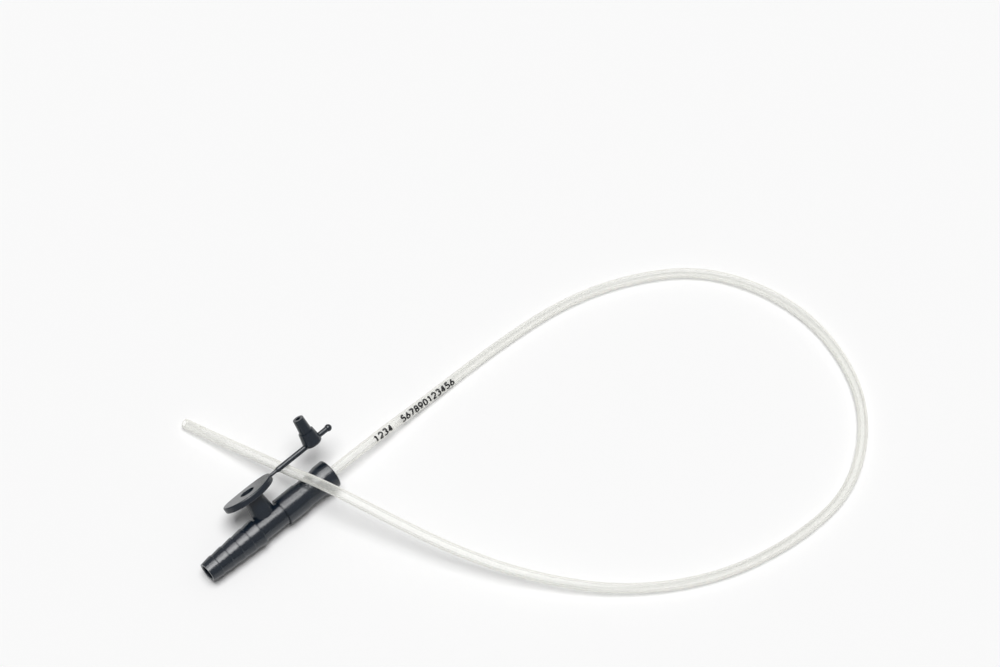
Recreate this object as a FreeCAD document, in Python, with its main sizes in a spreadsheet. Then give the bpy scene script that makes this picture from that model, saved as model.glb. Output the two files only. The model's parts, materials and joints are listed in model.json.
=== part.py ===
"""Suction catheter with a suction control connector, in millimetres.

The connector is one moulding: a barbed suction outlet, a neck with the control port and its thumb plate,
a barrel with a flared collar, and a strap that carries the stopper for the vent. The catheter tube is bonded
in the collar's socket and ends in an open tip with two side eyes.

The connector is drawn along its own axis, with the outlet's face at the origin and the port straight up, and
is then laid down as it rests: tipped until the collar and the last barb touch the table, and rolled sideways.
"""

import FreeCAD, Part
import math
import os
import Sketcher

Vector = FreeCAD.Vector
doc = FreeCAD.newDocument("suction_catheter")

# Driving dimensions. Lengths are millimetres and angles are degrees.
SIZES = {
    # outlet and barbs
    "outlet_radius": 3.3,
    "first_lip_station": 4.0,
    "first_lip_radius": 3.78,
    "barb_count": 5,
    "barb_pitch": 4.18,
    "barb_growth": 0.22,
    "barb_undercut": 0.2,
    "lip_land": 0.6,
    # neck, barrel and collar
    "neck_radius": 4.0,
    "neck_length": 9.8,
    "barrel_radius": 4.75,
    "barrel_length": 7.8,
    "ring_depth": 0.23,
    "waist_length": 4.5,
    "flare_length": 4.7,
    "collar_radius": 5.05,
    "collar_length": 3.35,
    "collar_round": 0.4,
    # passages
    "lumen_radius": 2.4,
    "lumen_lead_in": 0.25,
    "throat_taper_length": 3.0,
    "throat_length": 0.8,
    "socket_depth": 11.0,
    "socket_lead_in": 0.3,
    "bond_gap": 0.02,
    # control port and thumb plate
    "port_station": 25.2,
    "stem_shift": 0.4,
    "stem_foot_half_length": 4.35,
    "stem_foot_half_width": 3.3,
    "stem_top_half_length": 3.05,
    "stem_top_half_width": 2.7,
    "plate_height": 12.2,
    "plate_half_length": 9.25,
    "plate_half_width": 6.3,
    "plate_thickness": 2.15,
    "plate_rise": 0.6,
    "plate_edge_round": 0.45,
    "vent_mouth_radius": 2.5,
    "vent_radius": 1.95,
    "vent_seat_depth": 3.4,
    # strap, stopper and pull pin
    "strap_radius": 0.9,
    "strap_length": 14.1,
    "strap_neck_radius": 0.55,
    "strap_neck_length": 2.1,
    "strap_root": 0.8,
    "stopper_base_radius": 3.3,
    "stopper_shoulder_radius": 2.6,
    "stopper_shoulder_height": 4.95,
    "stopper_nose_radius": 2.15,
    "stopper_tip_radius": 1.8,
    "stopper_nose_height": 5.1,
    "stopper_drop": 0.65,
    "stopper_edge_round": 0.8,
    "stopper_core_radius": 0.85,
    "stopper_core_depth": 1.6,
    "stopper_twist": 11.0,
    "pin_radius": 0.9,
    "pin_length": 3.65,
    "pin_lift": 0.4,
    "ball_radius": 1.2,
    # catheter tube, 10 French
    "tube_radius": 1.665,
    "tube_bore_radius": 1.05,
    "tip_round": 0.35,
    "eye_half_length": 1.35,
    "eye_half_width": 0.75,
    "near_eye_distance": 7.2,
    "far_eye_distance": 15.0,
    # how it lies
    "port_lean": 51.3,
}

# The tube's route on the table after its straight start: x, y and the centre's height above the table.
ROUTE = [
    (94.0, 0.5, 1.665),
    (123.5, 0.0, 1.665),
    (152.5, -3.0, 1.665),
    (176.0, -12.0, 1.665),
    (194.5, -25.5, 1.665),
    (205.5, -47.5, 1.665),
    (207.0, -72.5, 1.665),
    (196.0, -99.5, 1.665),
    (171.0, -117.0, 1.665),
    (143.5, -117.5, 1.665),
    (115.0, -109.5, 1.665),
    (90.5, -92.5, 2.0),
    (72.5, -70.5, 4.4),
    (60.5, -49.5, 8.0),
    (52.5, -30.0, 11.2),
    (47.5, -16.5, 13.2),
    (43.0, -3.5, 13.9),
    (40.5, 8.5, 8.7),
    (37.5, 20.0, 6.3),
    (33.5, 34.0, 3.6),
    (29.5, 48.0, 1.7),
]
STRAIGHT_START = 26.6
ARC_SHARE = 0.45

sheet = doc.addObject("Spreadsheet::Sheet", "Sizes")
for row, (alias, value) in enumerate(SIZES.items(), start=1):
    sheet.set(f"A{row}", alias)
    sheet.set(f"B{row}", str(value))
    sheet.setAlias(f"B{row}", alias)
doc.recompute()

# Stations along the connector's axis and heights above it, as formulas of the sheet's cells.
LAST_LIP = "(Sizes.first_lip_station + (Sizes.barb_count - 1) * Sizes.barb_pitch)"
LAST_LIP_RADIUS = "(Sizes.first_lip_radius + (Sizes.barb_count - 1) * Sizes.barb_growth)"
SEAM = f"({LAST_LIP} + Sizes.neck_length)"
RING = f"({SEAM} + Sizes.barrel_length)"
FLARE = f"({RING} + Sizes.waist_length)"
COLLAR = f"({FLARE} + Sizes.flare_length)"
END = f"({COLLAR} + Sizes.collar_length)"
WAIST_RADIUS = "(Sizes.barrel_radius - Sizes.ring_depth)"
SHOULDER = f"({END} - Sizes.socket_depth)"
STRAP_START = "(Sizes.port_station + Sizes.plate_half_length)"
STRAP_HEIGHT = "(Sizes.plate_height + Sizes.plate_rise - Sizes.plate_thickness / 2)"
STOPPER = f"({STRAP_START} + Sizes.strap_length + Sizes.stopper_base_radius)"


def number(formula):
    """The value of a formula of the sheet's cells."""
    return float(sheet.evalExpression(formula))


def centre_of(start, end, radius, side):
    """The centre of an arc from start to end, on the left (1) or right (-1) of the chord."""
    chord = end - start
    middle = (start + end) * 0.5
    half = chord.Length / 2
    across = Vector(-chord.y, chord.x, 0).normalize()
    return middle + across * side * math.sqrt(max(radius**2 - half**2, 0))


def sketch_outline(body, name, plane, corners, rounds=None, offset=None):
    """A closed sketch through corners, each a pair of formulas, with each edge in rounds an arc of a radius.

    rounds maps an edge's number, that of the corner it starts from, to (radius formula, side of the centre).
    offset maps x and y to formulas that move the sketch in its plane.
    """
    rounds = rounds or {}
    sketch = body.newObject("Sketcher::SketchObject", name)
    origin_plane = [f for f in body.Origin.OriginFeatures if f.Role == plane][0]
    sketch.AttachmentSupport = [(origin_plane, "")]
    sketch.MapMode = "FlatFace"
    for axis, formula in (offset or {}).items():
        sketch.setExpression(f".AttachmentOffset.Base.{axis}", formula)
    points = [Vector(number(x), number(y), 0) for x, y in corners]
    for i, start in enumerate(points):
        end = points[(i + 1) % len(points)]
        if i not in rounds:
            sketch.addGeometry(Part.LineSegment(start, end), False)
            continue
        radius, side = rounds[i]
        centre = centre_of(start, end, number(radius), side)
        begin_angle = math.atan2(start.y - centre.y, start.x - centre.x)
        end_angle = math.atan2(end.y - centre.y, end.x - centre.x)
        circle = Part.Circle(centre, Vector(0, 0, 1), number(radius))
        turned = side < 0
        angles = (end_angle, begin_angle) if turned else (begin_angle, end_angle)
        sketch.addGeometry(Part.ArcOfCircle(circle, *angles), False)
    first, last = 1, 2
    for i in range(len(points)):
        after = (i + 1) % len(points)
        starts = last if i in rounds and rounds[i][1] < 0 else first
        ends = first if starts == last else last
        next_starts = last if after in rounds and rounds[after][1] < 0 else first
        sketch.addConstraint(Sketcher.Constraint("Coincident", i, ends, after, next_starts))
        for kind, formula in (("DistanceX", corners[i][0]), ("DistanceY", corners[i][1])):
            there = sketch.addConstraint(Sketcher.Constraint(kind, -1, 1, i, starts, number(formula)))
            sketch.setExpression(f"Constraints[{there}]", formula)
        if i in rounds:
            there = sketch.addConstraint(Sketcher.Constraint("Radius", i, number(rounds[i][0])))
            sketch.setExpression(f"Constraints[{there}]", rounds[i][0])
    return sketch


def revolved_body(name, plane, axis, corners, rounds=None, offset=None):
    """A body turned from an outline about its sketch's H_Axis or V_Axis."""
    body = doc.addObject("PartDesign::Body", name)
    sketch = sketch_outline(body, f"{name}_outline", plane, corners, rounds, offset)
    turn = body.newObject("PartDesign::Revolution", f"{name}_turned")
    turn.Profile = sketch
    turn.ReferenceAxis = (sketch, [axis])
    turn.Angle = 360
    return body


def barrel_body():
    """The tubular outside: barbs, neck, barrel, flare and collar, turned about the connector's axis."""
    corners = [("0", "0"), ("0", "Sizes.outlet_radius")]
    for i in range(int(SIZES["barb_count"])):
        lip = f"(Sizes.first_lip_station + {i} * Sizes.barb_pitch)"
        radius = f"(Sizes.first_lip_radius + {i} * Sizes.barb_growth)"
        corners.append((f"{lip} - Sizes.lip_land", radius))
        corners.append((lip, radius))
        if i < int(SIZES["barb_count"]) - 1:
            corners.append((lip, f"{radius} - Sizes.barb_undercut"))
    corners += [
        (LAST_LIP, "Sizes.neck_radius"),
        (SEAM, "Sizes.neck_radius"),
        (SEAM, "Sizes.barrel_radius"),
        (RING, "Sizes.barrel_radius"),
        (RING, WAIST_RADIUS),
        (FLARE, WAIST_RADIUS),
        (COLLAR, "Sizes.collar_radius"),
        (f"{END} - Sizes.collar_round", "Sizes.collar_radius"),
        (END, "Sizes.collar_radius - Sizes.collar_round"),
        (END, "0"),
    ]
    swell = f"(Sizes.collar_radius - {WAIST_RADIUS})"
    flare_radius = f"(Sizes.flare_length^2 + {swell}^2) / (2 * {swell})"
    flare_edge = len(corners) - 5
    rounds = {
        flare_edge: (flare_radius, 1),
        flare_edge + 2: ("Sizes.collar_round", -1),
    }
    return revolved_body("Barrel", "XZ_Plane", "H_Axis", corners, rounds)


def stem_body():
    """The control port's stem: a tapered oval from the neck's axis to the middle of the thumb plate."""
    heights = {"foot": "0", "top": "Sizes.plate_height - Sizes.plate_thickness / 2"}
    ovals = []
    for level, height in heights.items():
        oval = doc.addObject("Part::Ellipse", f"stem_{level}")
        oval.setExpression("MajorRadius", f"Sizes.stem_{level}_half_length")
        oval.setExpression("MinorRadius", f"Sizes.stem_{level}_half_width")
        oval.setExpression(".Placement.Base.x", "Sizes.port_station + Sizes.stem_shift")
        oval.setExpression(".Placement.Base.z", height)
        ovals.append(oval)
    stem = doc.addObject("Part::Loft", "Stem")
    stem.Sections = ovals
    stem.Solid = True
    stem.Ruled = True
    return stem


def thumb_plate():
    """The oval plate, dished along its length: an oval prism shared with a curved band."""
    length, rise = "Sizes.plate_half_length", "Sizes.plate_rise"
    top_radius = f"({length}^2 + {rise}^2) / (2 * {rise})"
    low = "Sizes.plate_height - Sizes.plate_thickness"
    corners = [(f"-{length}", f"{low} + {rise}"), (length, f"{low} + {rise}")]
    corners += [(length, f"{low} + {rise} + Sizes.plate_thickness")]
    corners += [(f"-{length}", f"{low} + {rise} + Sizes.plate_thickness")]
    rounds = {0: (top_radius, 1), 2: (top_radius, -1)}
    body = doc.addObject("PartDesign::Body", "PlateBand")
    sketch = sketch_outline(body, "plate_band", "XZ_Plane", corners, rounds, {"x": "Sizes.port_station"})
    band = body.newObject("PartDesign::Pad", "plate_band_pad")
    band.Profile = sketch
    band.Midplane = True
    band.setExpression("Length", "2 * Sizes.plate_half_width")

    oval = doc.addObject("Part::Ellipse", "PlateOval")
    oval.setExpression("MajorRadius", length)
    oval.setExpression("MinorRadius", "Sizes.plate_half_width")
    oval.setExpression(".Placement.Base.x", "Sizes.port_station")
    prism = doc.addObject("Part::Extrusion", "PlatePrism")
    prism.Base = oval
    prism.DirMode = "Custom"
    prism.Dir = Vector(0, 0, 1)
    prism.Solid = True
    prism.setExpression("LengthFwd", f"Sizes.plate_height + 2 * {rise}")
    blank = doc.addObject("Part::Common", "PlateBlank")
    blank.Base = prism
    blank.Tool = body
    doc.recompute()

    plate = doc.addObject("Part::Fillet", "ThumbPlate")
    plate.Base = blank
    rim = [n for n, edge in enumerate(blank.Shape.Edges, start=1) if edge.Curve.TypeId != "Part::GeomLine"]
    rounding = number("Sizes.plate_edge_round")
    plate.Edges = [(n, rounding, rounding) for n in rim]
    return plate


def strap_body():
    """The strap: a thin rod with a narrower neck where it leaves the plate."""
    length = "(Sizes.strap_length + Sizes.stopper_base_radius)"
    neck_end = "Sizes.strap_neck_length"
    corners = [("-Sizes.strap_root", "0"), ("-Sizes.strap_root", "Sizes.strap_neck_radius")]
    corners += [(neck_end, "Sizes.strap_neck_radius")]
    corners += [(f"{neck_end} + Sizes.strap_radius", "Sizes.strap_radius"), (length, "Sizes.strap_radius")]
    corners += [(length, "0")]
    place = {"x": STRAP_START, "y": STRAP_HEIGHT}
    return revolved_body("Strap", "XZ_Plane", "H_Axis", corners, offset=place)


def stopper_body():
    """The stepped stopper, cored at its tip, turned about an axis across the strap."""
    shoulder = "Sizes.stopper_shoulder_height - Sizes.stopper_drop"
    tip = f"({shoulder} + Sizes.stopper_nose_height)"
    corners = [
        ("0", "-Sizes.stopper_drop"),
        ("Sizes.stopper_base_radius - Sizes.stopper_edge_round", "-Sizes.stopper_drop"),
        ("Sizes.stopper_base_radius", "Sizes.stopper_edge_round - Sizes.stopper_drop"),
        ("Sizes.stopper_shoulder_radius", shoulder),
        ("Sizes.stopper_nose_radius", shoulder),
        ("Sizes.stopper_tip_radius", tip),
        ("Sizes.stopper_core_radius", tip),
        ("Sizes.stopper_core_radius", f"{tip} - Sizes.stopper_core_depth"),
        ("0", f"{tip} - Sizes.stopper_core_depth"),
    ]
    rounds = {1: ("Sizes.stopper_edge_round", 1)}
    return revolved_body("Stopper", "XZ_Plane", "V_Axis", corners, rounds, {"x": STOPPER, "y": STRAP_HEIGHT})


def pin_body():
    """The pull pin on the far side of the stopper, ending in a ball."""
    ball = "(Sizes.stopper_base_radius + Sizes.pin_length)"
    neck = "sqrt(Sizes.ball_radius^2 - Sizes.pin_radius^2)"
    corners = [("0", "0"), ("0", "Sizes.pin_radius"), (f"{ball} - {neck}", "Sizes.pin_radius")]
    corners += [(f"{ball} + Sizes.ball_radius", "0")]
    rounds = {2: ("Sizes.ball_radius", -1)}
    place = {"x": STOPPER, "y": f"{STRAP_HEIGHT} + Sizes.pin_lift"}
    return revolved_body("PullPin", "XZ_Plane", "H_Axis", corners, rounds, place)


def passage_body():
    """What the lumen takes away: the wide outlet, the taper to the tube's bore, and the tube's socket."""
    throat = f"({SHOULDER} - Sizes.throat_length)"
    socket = "(Sizes.tube_radius + Sizes.bond_gap)"
    corners = [
        ("0", "0"),
        ("0", "Sizes.lumen_radius + Sizes.lumen_lead_in"),
        ("Sizes.lumen_lead_in", "Sizes.lumen_radius"),
        (f"{throat} - Sizes.throat_taper_length", "Sizes.lumen_radius"),
        (throat, "Sizes.tube_bore_radius"),
        (SHOULDER, "Sizes.tube_bore_radius"),
        (SHOULDER, socket),
        (f"{END} - Sizes.socket_lead_in", socket),
        (END, f"{socket} + Sizes.socket_lead_in"),
        (END, "0"),
    ]
    return revolved_body("Passage", "XZ_Plane", "H_Axis", corners)


def vent_body():
    """What the vent takes away: a tapered seat for the stopper and the bore down to the lumen."""
    top = "(Sizes.plate_height + Sizes.plate_rise)"
    seat = "(Sizes.plate_height - Sizes.vent_seat_depth)"
    corners = [
        ("0", "0"),
        ("Sizes.vent_radius", "0"),
        ("Sizes.vent_radius", seat),
        ("Sizes.vent_mouth_radius", "Sizes.plate_height"),
        ("Sizes.vent_mouth_radius", top),
        ("0", top),
    ]
    return revolved_body("Vent", "XZ_Plane", "V_Axis", corners, offset={"x": "Sizes.port_station"})


def resting_rotation():
    """Tips the axis until the collar and the last barb are level, and leans the port sideways."""
    drop = number(f"Sizes.collar_radius - {LAST_LIP_RADIUS}")
    reach = number(f"{COLLAR} - {LAST_LIP}")
    tilt = math.degrees(math.atan2(drop, reach))
    tipped = FreeCAD.Rotation(Vector(0, 1, 0), -tilt)
    leaned = FreeCAD.Rotation(Vector(1, 0, 0), -number("Sizes.port_lean"))
    return tipped * leaned


def connector():
    """The whole moulding, with its passages cut, laid down as it rests."""
    stopper = stopper_body()
    stopper.Placement = FreeCAD.Placement(
        Vector(), FreeCAD.Rotation(Vector(1, 0, 0), number("Sizes.stopper_twist")), Vector(0, 0, number(STRAP_HEIGHT))
    )
    blank = doc.addObject("Part::MultiFuse", "ConnectorBlank")
    blank.Shapes = [barrel_body(), stem_body(), thumb_plate(), strap_body(), stopper, pin_body()]
    passages = doc.addObject("Part::MultiFuse", "Passages")
    passages.Shapes = [passage_body(), vent_body()]
    moulding = doc.addObject("Part::Cut", "Connector")
    moulding.Base = blank
    moulding.Tool = passages
    # Merging the faces that booleans split would break the oval stem's edges at some heights.
    blank.Refine = False
    moulding.Refine = False
    moulding.Placement = FreeCAD.Placement(Vector(), resting_rotation())
    moulding.Label = "connector"
    return moulding


def route_points():
    """The tube's route: from the socket's shoulder straight out of the collar, then along the table."""
    rotation = resting_rotation()
    table = table_height()
    shoulder = number(SHOULDER)
    points = [rotation.multVec(Vector(station, 0, 0)) for station in (shoulder, shoulder + STRAIGHT_START)]
    return points + [Vector(x, y, table + height) for x, y, height in ROUTE]


def table_height():
    """The level of the table under the last barb."""
    lip = Vector(number(LAST_LIP), 0, 0)
    rotation = resting_rotation()
    axis = rotation.multVec(Vector(1, 0, 0))
    return rotation.multVec(lip).z - number(LAST_LIP_RADIUS) * math.hypot(axis.x, axis.y)


def smooth_path(points):
    """Straight runs joined by tangent arcs, each as large as the shorter of its two runs allows."""
    edges, radii = [], []
    here = points[0]
    for before, corner, after in zip(points, points[1:], points[2:]):
        back, on = before - corner, after - corner
        turn = math.pi - back.getAngle(on)
        cut = ARC_SHARE * min(back.Length, on.Length)
        radii.append(cut / math.tan(turn / 2))
        start = corner + back.normalize() * cut
        end = corner + on.normalize() * cut
        inward = (back + on).normalize()
        middle = corner + inward * (radii[-1] / math.cos(turn / 2) - radii[-1])
        edges.append(Part.LineSegment(here, start).toShape())
        edges.append(Part.Arc(start, middle, end).toShape())
        here = end
    edges.append(Part.LineSegment(here, points[-1]).toShape())
    return Part.Wire(edges), radii


def swept(path, radius):
    """A round bar of a radius along the path."""
    start = path.Edges[0].valueAt(path.Edges[0].FirstParameter)
    direction = path.Edges[0].tangentAt(path.Edges[0].FirstParameter)
    ring = Part.Wire(Part.Circle(start, direction, radius).toShape())
    return path.makePipeShell([ring], True, False)


def eye_cutter(centre, along, side):
    """An oval bar that cuts one eye through the wall on a side, long way along the tube."""
    across = side.cross(along)
    end_of_length = centre + along * number("Sizes.eye_half_length")
    end_of_width = centre + across * number("Sizes.eye_half_width")
    outline = Part.Wire(Part.Ellipse(end_of_length, end_of_width, centre).toShape())
    return Part.Face(outline).extrude(side * 2 * number("Sizes.tube_radius"))


def catheter_tube():
    """The tube along its route, with a rounded open tip and two eyes on opposite sides."""
    radius, bore = number("Sizes.tube_radius"), number("Sizes.tube_bore_radius")
    points = route_points()
    path, radii = smooth_path(points)
    solid = swept(path, radius).cut(swept(path, bore))
    section = math.pi * (radius**2 - bore**2)
    print("arc radii:", " ".join(f"{r:.0f}" for r in radii))
    print(f"path {path.Length:.1f} mm, of which {path.Length - number('Sizes.socket_depth'):.1f} mm is free")
    print(f"volume {solid.Volume:.1f}, section times length {section * path.Length:.1f}")

    tip, inward = points[-1], (points[-2] - points[-1]).normalize()
    rim = [e for e in solid.Edges if e.isClosed() and (e.CenterOfMass - tip).Length < bore / 2]
    rim = [e for e in rim if abs(e.Length - 2 * math.pi * radius) < bore / 2]
    solid = solid.makeFillet(number("Sizes.tip_round"), rim)
    across = inward.cross(Vector(0, 0, 1)).normalize()
    upward = across.cross(inward).normalize()
    facing = (upward - across).normalize()
    for distance, side in (("near_eye_distance", facing), ("far_eye_distance", -facing)):
        centre = tip + inward * number(f"Sizes.{distance}")
        solid = solid.cut(eye_cutter(centre, inward, side))
    tube = doc.addObject("Part::Feature", "CatheterTube")
    tube.Shape = solid
    tube.Label = "catheter_tube"
    return tube


def checked(parts):
    """Stops if an object of the document failed or a sub-part isn't one sound solid."""
    for thing in doc.Objects:
        if "Invalid" in thing.State or "Error" in thing.State:
            raise RuntimeError(f"{thing.Name} failed: {thing.State}")
    for part in parts:
        if part.Shape.isNull() or not part.Shape.isValid() or len(part.Shape.Solids) != 1:
            raise RuntimeError(f"{part.Label} isn't one sound solid")
    return parts


parts = [connector(), catheter_tube()]
doc.recompute()
os.makedirs("parts", exist_ok=True)
for part in checked(parts):
    part.Shape.exportStep(f"parts/{part.Label}.step")
    box = part.Shape.BoundBox
    print(part.Label, f"{box.XLength:.1f} x {box.YLength:.1f} x {box.ZLength:.1f} mm, volume {part.Shape.Volume:.0f}")
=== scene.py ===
"""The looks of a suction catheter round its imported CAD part, in metres and in the row's frame.

The connector keeps its CAD form, with the finish of a satin black moulding. The catheter tube is hollow and
frosted, along one smooth line, open at its tip and at two eyes. A row of plain numbers is printed on it.
"""

import json
import math

import bmesh
import bpy
import numpy as np
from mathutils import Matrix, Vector

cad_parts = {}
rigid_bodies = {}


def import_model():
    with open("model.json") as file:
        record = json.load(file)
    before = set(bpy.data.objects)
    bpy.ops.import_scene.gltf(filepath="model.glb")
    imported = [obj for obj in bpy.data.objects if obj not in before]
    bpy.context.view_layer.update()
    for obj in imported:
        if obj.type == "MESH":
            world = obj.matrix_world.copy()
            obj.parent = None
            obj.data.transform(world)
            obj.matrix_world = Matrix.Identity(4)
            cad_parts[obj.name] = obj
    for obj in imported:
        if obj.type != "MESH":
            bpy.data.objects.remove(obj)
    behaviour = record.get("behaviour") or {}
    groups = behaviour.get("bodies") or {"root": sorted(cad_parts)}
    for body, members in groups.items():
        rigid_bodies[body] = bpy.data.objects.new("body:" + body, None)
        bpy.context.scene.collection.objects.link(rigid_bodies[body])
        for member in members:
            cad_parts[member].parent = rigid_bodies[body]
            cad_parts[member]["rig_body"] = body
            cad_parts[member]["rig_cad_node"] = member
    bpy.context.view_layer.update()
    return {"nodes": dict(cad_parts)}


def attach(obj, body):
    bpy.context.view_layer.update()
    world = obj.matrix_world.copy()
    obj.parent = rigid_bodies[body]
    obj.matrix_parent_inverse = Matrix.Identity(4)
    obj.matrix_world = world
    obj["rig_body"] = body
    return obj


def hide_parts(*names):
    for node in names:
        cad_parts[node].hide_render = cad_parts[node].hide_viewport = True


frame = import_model()
scene = bpy.context.scene

MM = 0.001

# The connector's axis, and stations along it from the suction outlet's face.
AXIS_TILT = math.radians(0.83372)
AXIS = np.array([math.cos(AXIS_TILT), 0, math.sin(AXIS_TILT)])
LIP_COUNT = 5
FIRST_LIP = 4.0 * MM
LIP_PITCH = 4.18 * MM
FIRST_LIP_RADIUS = 3.78 * MM
LIP_GROWTH = 0.22 * MM
LIPS = FIRST_LIP + LIP_PITCH * np.arange(LIP_COUNT)
LIP_RADII = FIRST_LIP_RADIUS + LIP_GROWTH * np.arange(LIP_COUNT)
SOCKET_SHOULDER = 39.87 * MM
TABLE = -4.35802 * MM

# How the connector's mesh is made ready: a lip's edge is shaded round over LIP_ROUND.
LIP_ROUND = 0.3 * MM
LIP_NEARNESS = 0.02 * MM
WELD_DISTANCE = 0.001 * MM
CUT_TOLERANCE = 1e-7
MOULDING_CRISP_ANGLE = math.radians(24)

# The catheter tube.
TUBE_RADIUS = 1.665 * MM
BORE_RADIUS = 1.05 * MM
TIP_ROUND = 0.35 * MM
TIP_STEPS = 8
STRAIGHT_START = 26.6 * MM
EYE_HALF_LENGTH = 1.35 * MM
EYE_HALF_WIDTH = 0.75 * MM
NEAR_EYE = 7.2 * MM
FAR_EYE = 15.0 * MM
EYE_SIDES = 40
TUBE_CRISP_ANGLE = math.radians(40)
# Of the light that the frosted wall stops, this share is scattered on.
SCATTERED_ON = 0.1

# The tube's route on the table after its straight start: x, y and the centre's height above the table.
ROUTE = [
    (0.0940, 0.0005, 0.001665),
    (0.1235, 0.0000, 0.001665),
    (0.1525, -0.0030, 0.001665),
    (0.1760, -0.0120, 0.001665),
    (0.1945, -0.0255, 0.001665),
    (0.2055, -0.0475, 0.001665),
    (0.2070, -0.0725, 0.001665),
    (0.1960, -0.0995, 0.001665),
    (0.1710, -0.1170, 0.001665),
    (0.1435, -0.1175, 0.001665),
    (0.1150, -0.1095, 0.001665),
    (0.0905, -0.0925, 0.002),
    (0.0725, -0.0705, 0.0044),
    (0.0605, -0.0495, 0.008),
    (0.0525, -0.0300, 0.0112),
    (0.0475, -0.0165, 0.0132),
    (0.0430, -0.0035, 0.0139),
    (0.0405, 0.0085, 0.0087),
    (0.0375, 0.0200, 0.0063),
    (0.0335, 0.0340, 0.0036),
    (0.0295, 0.0480, 0.0017),
]
LINE_STEPS = 36
RING_SIDES = 36

# The row of plain numbers: it starts at a station of the tube, and turns round it by an angle from the top.
PRINT_ROW = "1234  567890123456"
PRINT_START = 29.2 * MM
PRINT_PITCH = 1.95 * MM
PRINT_HEIGHT = 2.1 * MM
PRINT_STROKE = 0.58 * MM
PRINT_ANGLE = math.radians(40)
INK_DEPTH = 0.03 * MM
ARC_POINTS = 15
STROKE_POINTS = 16

# The camera of the photograph.
CAMERA_PLACE = (-0.157415, -0.299993, 0.662801)
CAMERA_AIM = (0.128388, 0.003506, -0.004358)
CAMERA_LENS = 85
SENSOR_WIDTH = 36

# The floor is a card much larger than the view, and lies just under the part.
FLOOR_HALF_WIDTH = 3.0
FLOOR_DROP = 0.02 * MM

# The sky gives 0.2 of the light on the floor, and the broad lamp overhead the rest: 0.8 times pi.
SKY_LIGHT = 0.2
SUN_LIGHT = 2.5
SUN_SPREAD = 37
SUN_TRAVEL = (0.0, 0.03, -1.0)
# The reflector hangs a metre off, 26 degrees from overhead, and is about two thirds as bright as the lamp.
REFLECTOR_SIZE = (0.9, 0.24)
REFLECTOR_GLOW = 5.2
REFLECTOR_PLACE = (0.1, 0.42, 0.9)
# The part of what gloss sees beyond the floor that is white backdrop and not sky.
GLOSS_BACKDROP = 0.32


def linear(code):
    """An sRGB hex colour as linear red, green and blue, and a full alpha."""
    channels = np.array([int(code[i:i + 2], 16) for i in (1, 3, 5)]) / 255
    low = channels / 12.92
    high = ((channels + 0.055) / 1.055) ** 2.4
    return (*np.where(channels <= 0.04045, low, high).tolist(), 1.0)


def add_node(material, kind, inputs=None, **settings):
    """A node of a material, with its settings; each input is a value or another node's output."""
    made = material.node_tree.nodes.new(kind)
    for name, value in settings.items():
        setattr(made, name, value)
    for name, value in (inputs or {}).items():
        socket = made.inputs[name]
        if isinstance(value, bpy.types.NodeSocket):
            material.node_tree.links.new(value, socket)
        else:
            socket.default_value = value
    return made


def new_material(name):
    """An empty node material and its output node."""
    material = bpy.data.materials.new(name)
    material.use_nodes = True
    material.node_tree.nodes.clear()
    return material, material.node_tree.nodes.new("ShaderNodeOutputMaterial")


def mesh_object(name, points, faces):
    """An object of a mesh whose corners are already in the row's frame."""
    mesh = bpy.data.meshes.new(name)
    mesh.from_pydata(np.asarray(points).reshape(-1, 3).tolist(), [], np.asarray(faces).tolist())
    mesh.update()
    made = bpy.data.objects.new(name, mesh)
    scene.collection.objects.link(made)
    return made


def grid_faces(rows, columns, rows_closed, columns_closed):
    """The quads of a grid of rows x columns points, joined round where it is closed."""
    row = np.arange(rows if rows_closed else rows - 1)[:, None]
    column = np.arange(columns if columns_closed else columns - 1)[None, :]
    next_row, next_column = (row + 1) % rows, (column + 1) % columns
    corners = [(row, column), (row, next_column), (next_row, next_column), (next_row, column)]
    return np.stack([r * columns + c for r, c in corners], axis=-1).reshape(-1, 4)


def route_points():
    """The route from the socket's shoulder: two points on the connector's axis, then those on the table."""
    start = [AXIS * SOCKET_SHOULDER, AXIS * (SOCKET_SHOULDER + STRAIGHT_START)]
    return np.array(start + [(x, y, TABLE + height) for x, y, height in ROUTE])


def smooth_line(points):
    """The points that a NURBS spline of order 3 runs through, with the given points for its control."""
    curve = bpy.data.curves.new("tube_line", "CURVE")
    curve.dimensions = "3D"
    curve.resolution_u = LINE_STEPS
    spline = curve.splines.new("NURBS")
    spline.points.add(len(points) - 1)
    spline.points.foreach_set("co", np.c_[points, np.ones(len(points))].ravel())
    spline.order_u = 3
    spline.use_endpoint_u = True
    holder = bpy.data.objects.new("tube_line", curve)
    scene.collection.objects.link(holder)
    bpy.context.view_layer.update()
    mesh = bpy.data.meshes.new_from_object(holder)
    line = np.zeros(len(mesh.vertices) * 3)
    mesh.vertices.foreach_get("co", line)
    bpy.data.objects.remove(holder)
    bpy.data.meshes.remove(mesh)
    bpy.data.curves.remove(curve)
    return line.reshape(-1, 3)


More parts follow.
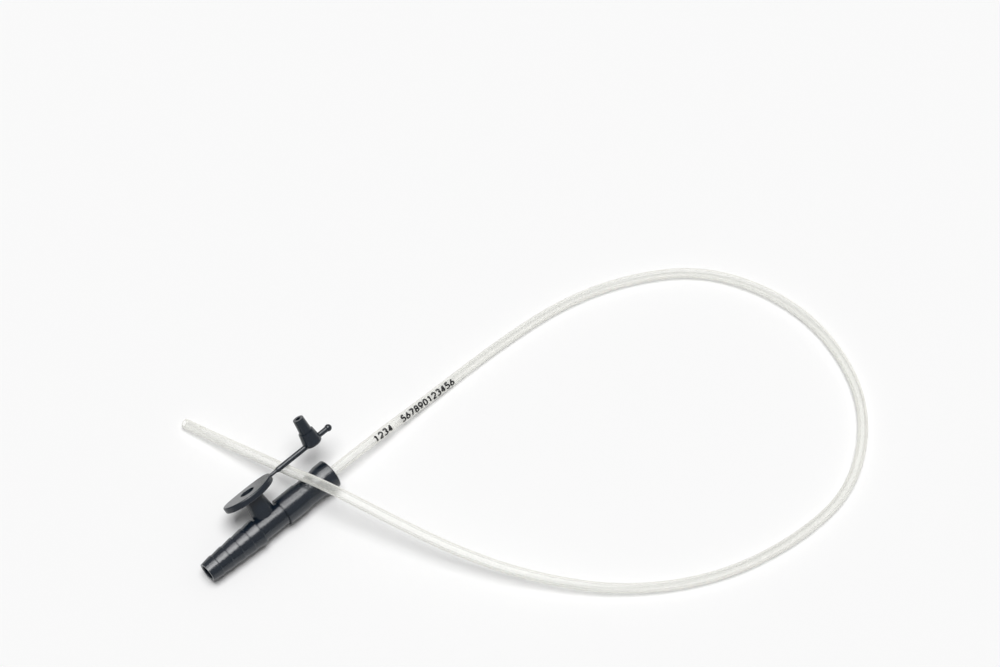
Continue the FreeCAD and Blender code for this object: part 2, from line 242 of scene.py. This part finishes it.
class TubeLine:
    """The tube's centreline with its lengths, and at each point an up and a near side across it."""

    def __init__(self, points):
        self.points = points
        steps = np.linalg.norm(np.diff(points, axis=0), axis=1)
        self.stations = np.concatenate([[0], np.cumsum(steps)])
        along = np.gradient(points, self.stations, axis=0)
        self.along = along / np.linalg.norm(along, axis=1)[:, None]
        near = np.cross(self.along, (0, 0, 1))
        self.near = near / np.linalg.norm(near, axis=1)[:, None]
        self.up = np.cross(self.near, self.along)
        self.length = self.stations[-1]

    def read(self, values, stations):
        """A value of the line at any stations along it, between its points in proportion."""
        return np.stack([np.interp(stations, self.stations, column) for column in values.T], axis=-1)

    def around(self, stations, angles, radii):
        """Points at a radius from the line and at an angle from up towards the near side.

        point = centre(station) + radius * (cos(angle) * up(station) + sin(angle) * near(station))
        """
        centre, up, near = (self.read(v, stations) for v in (self.points, self.up, self.near))
        across = np.cos(angles)[..., None] * up + np.sin(angles)[..., None] * near
        return centre + radii[..., None] * across


def tube_profile(length):
    """Stations and radii of the tube's closed section: the outside, the rounded tip, and back by the bore.

    The rounding is a quarter circle: station = start + round * sin(t), radius = inner + round * cos(t).
    """
    outside = np.arange(0, length - TIP_ROUND, TUBE_RADIUS / 2)
    turn = np.linspace(0, math.pi / 2, TIP_STEPS)
    rounding = length - TIP_ROUND + TIP_ROUND * np.sin(turn)
    rounding_radii = TUBE_RADIUS - TIP_ROUND + TIP_ROUND * np.cos(turn)
    bore = np.append(length, outside[::-1])
    stations = np.concatenate([outside, rounding, bore])
    outside_radii = np.full(len(outside), TUBE_RADIUS)
    bore_radii = np.full(len(bore), BORE_RADIUS)
    return stations, np.concatenate([outside_radii, rounding_radii, bore_radii])


def oval_cutter(name, centre, along, side):
    """A closed oval bar from the centre outwards.

    Its section is half_length * cos(t) along the tube and half_width * sin(t) across it.
    """
    across = np.cross(side, along)
    turn = np.linspace(0, 2 * math.pi, EYE_SIDES, endpoint=False)[None, :, None]
    reach = np.array([0.0, 2 * TUBE_RADIUS])[:, None, None]
    oval = EYE_HALF_LENGTH * np.cos(turn) * along + EYE_HALF_WIDTH * np.sin(turn) * across
    points = centre + oval + reach * side
    sides = grid_faces(2, EYE_SIDES, False, True).tolist()
    ends = [list(range(EYE_SIDES)), list(range(2 * EYE_SIDES - 1, EYE_SIDES - 1, -1))]
    mesh = bpy.data.meshes.new(name)
    mesh.from_pydata(points.reshape(-1, 3).tolist(), [], sides + ends)
    cutter = bpy.data.objects.new(name, mesh)
    scene.collection.objects.link(cutter)
    return cutter


def catheter_tube(line, outside_finish, bore_finish):
    """The hollow tube: its section carried along the line, with two eyes cut in the wall near the tip."""
    stations, radii = tube_profile(line.length)
    angles = np.linspace(0, 2 * math.pi, RING_SIDES, endpoint=False)
    shape = (len(stations), RING_SIDES)
    grid_stations = np.broadcast_to(stations[:, None], shape)
    grid_radii = np.broadcast_to(radii[:, None], shape)
    points = line.around(grid_stations, np.broadcast_to(angles, shape), grid_radii)
    faces = grid_faces(*shape, True, True)
    tube = mesh_object("tube", points, faces)
    tube.data.materials.append(outside_finish)
    tube.data.materials.append(bore_finish)
    in_bore = np.repeat((radii == BORE_RADIUS) & (np.roll(radii, -1) == BORE_RADIUS), RING_SIDES)
    tube.data.polygons.foreach_set("material_index", in_bore.astype(int))

    tip, inward = line.points[-1], -line.along[-1]
    # One eye faces up and to one side, and the other faces the opposite way.
    facing = line.up[-1] - np.cross(inward, (0, 0, 1))
    facing = facing / np.linalg.norm(facing)
    for name, distance, side in (("near_eye", NEAR_EYE, facing), ("far_eye", FAR_EYE, -facing)):
        cutter = oval_cutter(name, tip + inward * distance, inward, side)
        cut = tube.modifiers.new(name, "BOOLEAN")
        cut.operation = "DIFFERENCE"
        cut.solver = "EXACT"
        cut.object = cutter
        finished = bpy.data.meshes.new_from_object(tube.evaluated_get(bpy.context.evaluated_depsgraph_get()))
        tube.modifiers.clear()
        tube.data = finished
        bpy.data.objects.remove(cutter)
    tube.data.shade_smooth()
    tube.data.set_sharp_from_angle(angle=TUBE_CRISP_ANGLE)
    return tube


def frosted_pvc(name, thin, thick, tint):
    """Plasticised PVC, extruded with a frosted face: milky and see-through, and denser seen edge on."""
    material, output = new_material(name)
    place = add_node(material, "ShaderNodeTexCoord").outputs["Object"]
    edge = add_node(material, "ShaderNodeLayerWeight", {"Blend": 0.5}).outputs["Facing"]
    # Haze in the wall comes and goes over about 8 mm.
    haze = add_node(material, "ShaderNodeTexNoise", {"Vector": place, "Scale": 125.0, "Detail": 1.0})
    cover = add_node(
        material,
        "ShaderNodeMapRange",
        {"Value": edge, "From Min": 0.2, "From Max": 0.5, "To Min": thin, "To Max": thick},
    ).outputs["Result"]
    uneven = add_node(
        material, "ShaderNodeMapRange", {"Value": haze.outputs["Fac"], "To Min": 0.96, "To Max": 1.04}
    ).outputs["Result"]
    milky = add_node(material, "ShaderNodeMath", {0: cover, 1: uneven}, operation="MULTIPLY", use_clamp=True)
    # Some light is scattered on through the wall, so its shadow is paler than the wall looks.
    in_shadow = add_node(material, "ShaderNodeLightPath").outputs["Is Shadow Ray"]
    passed = add_node(
        material, "ShaderNodeMath", {0: in_shadow, 1: -SCATTERED_ON, 2: 1.0}, operation="MULTIPLY_ADD"
    )
    alpha = add_node(
        material,
        "ShaderNodeMath",
        {0: milky.outputs["Value"], 1: passed.outputs["Value"]},
        operation="MULTIPLY",
    )
    shader = add_node(
        material,
        "ShaderNodeBsdfPrincipled",
        {"Base Color": linear(tint), "Roughness": 0.2, "IOR": 1.53, "Alpha": alpha.outputs["Value"]},
    )
    material.node_tree.links.new(shader.outputs["BSDF"], output.inputs["Surface"])
    return material


def satin_polypropylene():
    """Polypropylene with carbon black, moulded in spark-eroded steel: a soft highlight over a fine grain."""
    material, output = new_material("satin_polypropylene")
    place = add_node(material, "ShaderNodeTexCoord").outputs["Object"]
    # Flow marks of the melt are about 5 mm across, and the grain of the tool is about 0.35 mm.
    flow = add_node(material, "ShaderNodeTexNoise", {"Vector": place, "Scale": 200.0, "Detail": 3.0})
    grain = add_node(material, "ShaderNodeTexNoise", {"Vector": place, "Scale": 2900.0, "Detail": 3.0})
    colour = add_node(
        material,
        "ShaderNodeMix",
        {"Factor": flow.outputs["Fac"], "A": linear("#0e1721"), "B": linear("#15202c")},
        data_type="RGBA",
    )
    rough = add_node(
        material, "ShaderNodeMapRange", {"Value": flow.outputs["Fac"], "To Min": 0.16, "To Max": 0.24}
    )
    bump = add_node(
        material, "ShaderNodeBump", {"Height": grain.outputs["Fac"], "Strength": 1.0, "Distance": 0.04 * MM}
    )
    shader = add_node(
        material,
        "ShaderNodeBsdfPrincipled",
        {
            "Base Color": colour.outputs["Result"],
            "Roughness": rough.outputs["Result"],
            "IOR": 1.58,
            "Normal": bump.outputs["Normal"],
        },
    )
    material.node_tree.links.new(shader.outputs["BSDF"], output.inputs["Surface"])
    return material


def soften_lips(mesh):
    """Adds a ring of points just short of each lip, and lets the imported normals go.

    A lip's edge is shaded round, and the ring keeps that to a narrow line. With the imported normals, many
    crisp edges would be left out when the angles between faces mark them.
    """
    imported = mesh.attributes.get("custom_normal")
    if imported:
        mesh.attributes.remove(imported)
    shape = bmesh.new()
    shape.from_mesh(mesh)
    for lip in LIPS:
        parts = shape.verts[:] + shape.edges[:] + shape.faces[:]
        place = AXIS * (lip - LIP_ROUND)
        bmesh.ops.bisect_plane(shape, geom=parts, dist=CUT_TOLERANCE, plane_co=place, plane_no=AXIS)
    shape.to_mesh(mesh)
    shape.free()


def lip_edges(mesh):
    """The edges that run round the lips' outer corners: both ends lie at a lip's station and radius."""
    points = np.array([vertex.co for vertex in mesh.vertices])
    stations = points @ AXIS
    radii = np.linalg.norm(points - stations[:, None] * AXIS, axis=1)
    near = np.abs(stations[:, None] - LIPS) < LIP_NEARNESS
    near &= np.abs(radii[:, None] - LIP_RADII) < LIP_NEARNESS
    on_lip = near.any(axis=1)
    return [edge.index for edge in mesh.edges if all(on_lip[i] for i in edge.vertices)]


def connector_moulding(finish):
    """The CAD connector as one welded mesh with smooth faces and crisp edges, in the moulding's finish."""
    moulding = frame["nodes"]["connector"].copy()
    moulding.data = frame["nodes"]["connector"].data.copy()
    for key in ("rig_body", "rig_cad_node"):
        del moulding[key]
    moulding.name = "connector_moulding"
    moulding.parent = None
    scene.collection.objects.link(moulding)
    weld = moulding.modifiers.new("weld", "WELD")
    weld.merge_threshold = WELD_DISTANCE
    welded = bpy.data.meshes.new_from_object(moulding.evaluated_get(bpy.context.evaluated_depsgraph_get()))
    moulding.modifiers.clear()
    soften_lips(welded)
    moulding.data = welded
    moulding.data.materials.clear()
    moulding.data.materials.append(finish)
    moulding.data.shade_smooth()
    moulding.data.set_sharp_from_angle(angle=MOULDING_CRISP_ANGLE)
    for edge in lip_edges(moulding.data):
        moulding.data.edges[edge].use_edge_sharp = False
    # Large faces set the normals, so the long cylinders shade true up to their ends.
    shading = moulding.modifiers.new("shading", "WEIGHTED_NORMAL")
    shading.keep_sharp = True
    return moulding


def pale_floor():
    """A large matt card just under the part."""
    half = FLOOR_HALF_WIDTH
    corners = [(-half, -half, TABLE), (half, -half, TABLE), (half, half, TABLE), (-half, half, TABLE)]
    floor = mesh_object("floor", corners, [[0, 1, 2, 3]])
    floor.location.z = -FLOOR_DROP
    material, output = new_material("matt_white_card")
    shader = add_node(material, "ShaderNodeBsdfDiffuse", {"Color": linear("#fafafa")})
    material.node_tree.links.new(shader.outputs["BSDF"], output.inputs["Surface"])
    floor.data.materials.append(material)


def even_sky():
    """An even sky, which the camera sees as a white backdrop, and gloss as part sky and part backdrop."""
    world = bpy.data.worlds.new("even_sky")
    scene.world = world
    world.use_nodes = True
    nodes, links = world.node_tree.nodes, world.node_tree.links
    nodes.clear()
    output = nodes.new("ShaderNodeOutputWorld")
    rays = nodes.new("ShaderNodeLightPath")
    seen = nodes.new("ShaderNodeMath")
    seen.operation = "MULTIPLY_ADD"
    seen.use_clamp = True
    links.new(rays.outputs["Is Glossy Ray"], seen.inputs[0])
    seen.inputs[1].default_value = GLOSS_BACKDROP
    links.new(rays.outputs["Is Camera Ray"], seen.inputs[2])
    sky = nodes.new("ShaderNodeBackground")
    sky.inputs["Color"].default_value = (1, 1, 1, 1)
    sky.inputs["Strength"].default_value = SKY_LIGHT
    backdrop = nodes.new("ShaderNodeBackground")
    backdrop.inputs["Color"].default_value = linear("#fafafa")
    choice = nodes.new("ShaderNodeMixShader")
    links.new(seen.outputs["Value"], choice.inputs["Fac"])
    links.new(sky.outputs["Background"], choice.inputs[1])
    links.new(backdrop.outputs["Background"], choice.inputs[2])
    links.new(choice.outputs["Shader"], output.inputs["Surface"])


def soft_sun():
    """The broad lamp overhead, which with the sky lights the floor at a plain level."""
    sun = bpy.data.lights.new("soft_sun", "SUN")
    sun.energy = SUN_LIGHT
    sun.angle = math.radians(SUN_SPREAD)
    lamp = bpy.data.objects.new("soft_sun", sun)
    lamp.rotation_mode = "QUATERNION"
    lamp.rotation_quaternion = Vector(SUN_TRAVEL).to_track_quat("-Z", "Y")
    scene.collection.objects.link(lamp)


def gloss_reflector():
    """A long white reflector beside the lamp, which widens the highlights and which only gloss sees."""
    strip = bpy.data.lights.new("reflector", "AREA")
    strip.shape = "RECTANGLE"
    strip.size, strip.size_y = REFLECTOR_SIZE
    strip.energy = REFLECTOR_GLOW * math.pi * strip.size * strip.size_y
    reflector = bpy.data.objects.new("reflector", strip)
    reflector.location = REFLECTOR_PLACE
    reflector.rotation_mode = "QUATERNION"
    reflector.rotation_quaternion = Vector(REFLECTOR_PLACE).to_track_quat("Z", "Y")
    reflector.visible_diffuse = False
    reflector.visible_transmission = False
    scene.collection.objects.link(reflector)


def photo_camera():
    """The camera at the photograph's place, level from side to side."""
    data = bpy.data.cameras.new("photo_camera")
    data.lens = CAMERA_LENS
    data.sensor_width = SENSOR_WIDTH
    camera = bpy.data.objects.new("photo_camera", data)
    camera.location = CAMERA_PLACE
    camera.rotation_mode = "QUATERNION"
    look = Vector(CAMERA_AIM) - Vector(CAMERA_PLACE)
    camera.rotation_quaternion = look.to_track_quat("-Z", "Y")
    scene.collection.objects.link(camera)
    scene.camera = camera


def arc(centre, radii, start, end):
    """Points of an oval arc: centre + (rx * cos(t), ry * sin(t)), with t in degrees from start to end."""
    turn = np.radians(np.linspace(start, end, ARC_POINTS))
    return np.array(centre) + np.array(radii) * np.stack([np.cos(turn), np.sin(turn)], axis=-1)


# Plain digits as strokes in a cell 0.6 wide and 1 high: each stroke is a list of points.
DIGITS = {
    "0": [arc((0.3, 0.5), (0.3, 0.5), 0, 360)],
    "1": [[(0.1, 0.78), (0.34, 1)], [(0.34, 1), (0.34, 0)]],
    "2": [arc((0.3, 0.7), (0.3, 0.3), 165, -35), [(0.545, 0.53), (0, 0)], [(0, 0), (0.6, 0)]],
    "3": [arc((0.28, 0.77), (0.27, 0.23), 150, -90), arc((0.28, 0.27), (0.31, 0.27), 90, -150)],
    "4": [[(0.44, 0), (0.44, 1)], [(0.44, 1), (0, 0.3)], [(0, 0.3), (0.6, 0.3)]],
    "5": [[(0.55, 1), (0.1, 1)], [(0.1, 1), (0.06, 0.55)], arc((0.27, 0.32), (0.32, 0.32), 132, -145)],
    "6": [arc((0.3, 0.3), (0.3, 0.3), 0, 360), [(0.03, 0.42), (0.42, 1)]],
    "7": [[(0, 1), (0.6, 1)], [(0.6, 1), (0.2, 0)]],
    "8": [arc((0.3, 0.76), (0.24, 0.24), 0, 360), arc((0.3, 0.27), (0.3, 0.27), 0, 360)],
    "9": [arc((0.3, 0.7), (0.3, 0.3), 0, 360), [(0.57, 0.58), (0.18, 0)]],
}


def stroke_points(stroke):
    """A stroke's middle line, cut in even steps, and its direction at each."""
    stroke = np.asarray(stroke, float)
    lengths = np.concatenate([[0], np.cumsum(np.linalg.norm(np.diff(stroke, axis=0), axis=1))])
    at = np.linspace(0, lengths[-1], STROKE_POINTS)
    middle = np.stack([np.interp(at, lengths, stroke[:, i]) for i in (0, 1)], axis=-1)
    along = np.gradient(middle, axis=0)
    return middle, along / np.linalg.norm(along, axis=1)[:, None]


def printed_row(line, ink):
    """Plain digits in ink on the tube's outside: each stroke is a thin closed band bent round the tube.

    A point (x, y) of a digit lies at station = start + x and angle = middle - y / radius round the tube.
    """
    points, faces = [], []
    ring = [(-1, 1), (-0.33, 1), (0.33, 1), (1, 1), (1, -1), (0.33, -1), (-0.33, -1), (-1, -1)]
    across, level = np.array(ring).T
    for place, character in enumerate(PRINT_ROW):
        for stroke in DIGITS.get(character, []):
            middle, along = stroke_points(stroke)
            middle = middle * PRINT_HEIGHT
            normal = np.stack([-along[:, 1], along[:, 0]], axis=-1)
            flat = middle[:, None, :] + normal[:, None, :] * across[None, :, None] * PRINT_STROKE / 2
            stations = PRINT_START + place * PRINT_PITCH + flat[..., 0]
            angles = PRINT_ANGLE - (flat[..., 1] - PRINT_HEIGHT / 2) / TUBE_RADIUS
            radii = np.broadcast_to(TUBE_RADIUS + level * INK_DEPTH, stations.shape)
            first = sum(len(p) for p in points)
            points.append(line.around(stations, angles, radii).reshape(-1, 3))
            rows, columns = stations.shape
            bands = (grid_faces(rows, columns, False, True) + first).tolist()
            near_end = [first + i for i in range(columns)]
            far_end = [first + (rows - 1) * columns + i for i in range(columns)][::-1]
            faces += bands + [near_end, far_end]
    mesh = bpy.data.meshes.new("printed_numbers")
    mesh.from_pydata(np.concatenate(points).tolist(), [], faces)
    mesh.update()
    row = bpy.data.objects.new("printed_numbers", mesh)
    scene.collection.objects.link(row)
    mesh.materials.append(ink)
    return row


def pad_print_ink():
    """Black pad-printing ink: a thin, dull film that lies a little uneven."""
    material, output = new_material("pad_print_ink")
    place = add_node(material, "ShaderNodeTexCoord").outputs["Object"]
    # The film is uneven over about 0.3 mm.
    film = add_node(material, "ShaderNodeTexNoise", {"Vector": place, "Scale": 3300.0, "Detail": 1.0})
    colour = add_node(
        material,
        "ShaderNodeMix",
        {"Factor": film.outputs["Fac"], "A": linear("#060708"), "B": linear("#141518")},
        data_type="RGBA",
    )
    shader = add_node(
        material, "ShaderNodeBsdfPrincipled", {"Base Color": colour.outputs["Result"], "Roughness": 0.55}
    )
    material.node_tree.links.new(shader.outputs["BSDF"], output.inputs["Surface"])
    return material


photo_camera()

tube_line = TubeLine(smooth_line(route_points()))
outside_finish = frosted_pvc("frosted_pvc", thin=0.18, thick=0.8, tint="#fafaf4")
bore_finish = frosted_pvc("frosted_pvc_bore", thin=0.1, thick=0.3, tint="#fafaf4")
tube = catheter_tube(tube_line, outside_finish, bore_finish)
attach(tube, "root")
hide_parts("catheter_tube")

numbers = printed_row(tube_line, pad_print_ink())
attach(numbers, "root")

moulding = connector_moulding(satin_polypropylene())
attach(moulding, "root")
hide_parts("connector")

pale_floor()
even_sky()
soft_sun()
gloss_reflector()
scene.view_settings.view_transform = "Standard"
